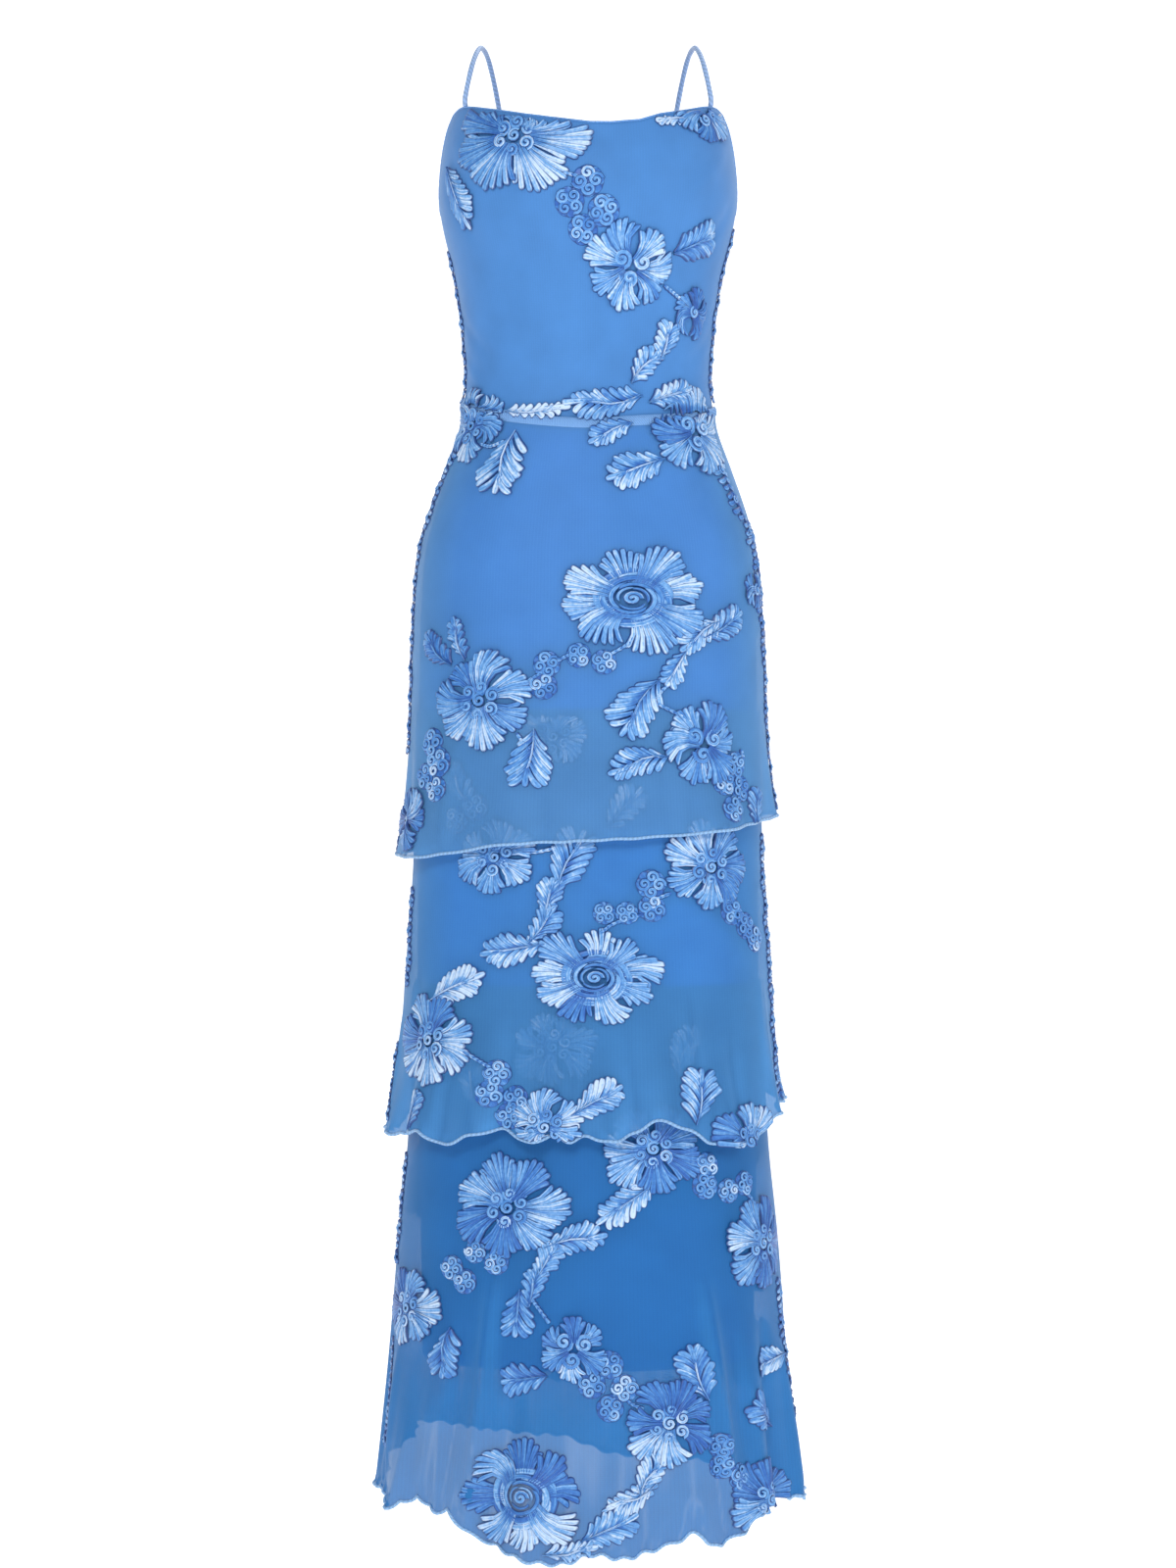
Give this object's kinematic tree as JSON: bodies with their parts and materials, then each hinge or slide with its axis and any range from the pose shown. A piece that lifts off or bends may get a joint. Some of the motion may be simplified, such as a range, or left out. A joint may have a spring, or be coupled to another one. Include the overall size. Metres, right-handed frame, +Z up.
{
  "type": "tiered maxi dress with spaghetti straps",
  "caption": "Sky-blue floral maxi dress: fitted strappy bodice, opaque slip lining and three overlapping sheer embroidered tiers with wavy hems.",
  "frame": {"origin": "where the shoulders hold the dress: midway between the tops of the two straps", "axes": "+Z up along the dress, -Y out of the front, +X toward the wearer's left"},
  "size_m": [0.3899, 0.3097, 1.3431],
  "materials": {
    "embroidered_mesh": "sheer mesh with matte and satin ribbon embroidery",
    "lining": "smooth opaque knit",
    "strap": "satin rouleau cord",
    "waist_stitching": "matte overlock thread"
  },
  "bodies": {
    "root": {"bodice_front": "embroidered_mesh", "bodice_back": "embroidered_mesh", "strap_left": "strap", "strap_right": "strap", "strip_front": "waist_stitching", "strip_back": "waist_stitching", "lining_front": "lining", "lining_back": "lining", "tier_1_front": "embroidered_mesh", "tier_1_back": "embroidered_mesh", "tier_2_front": "embroidered_mesh", "tier_2_back": "embroidered_mesh", "tier_3_front": "embroidered_mesh", "tier_3_back": "embroidered_mesh"}
  },
  "joints": []
}
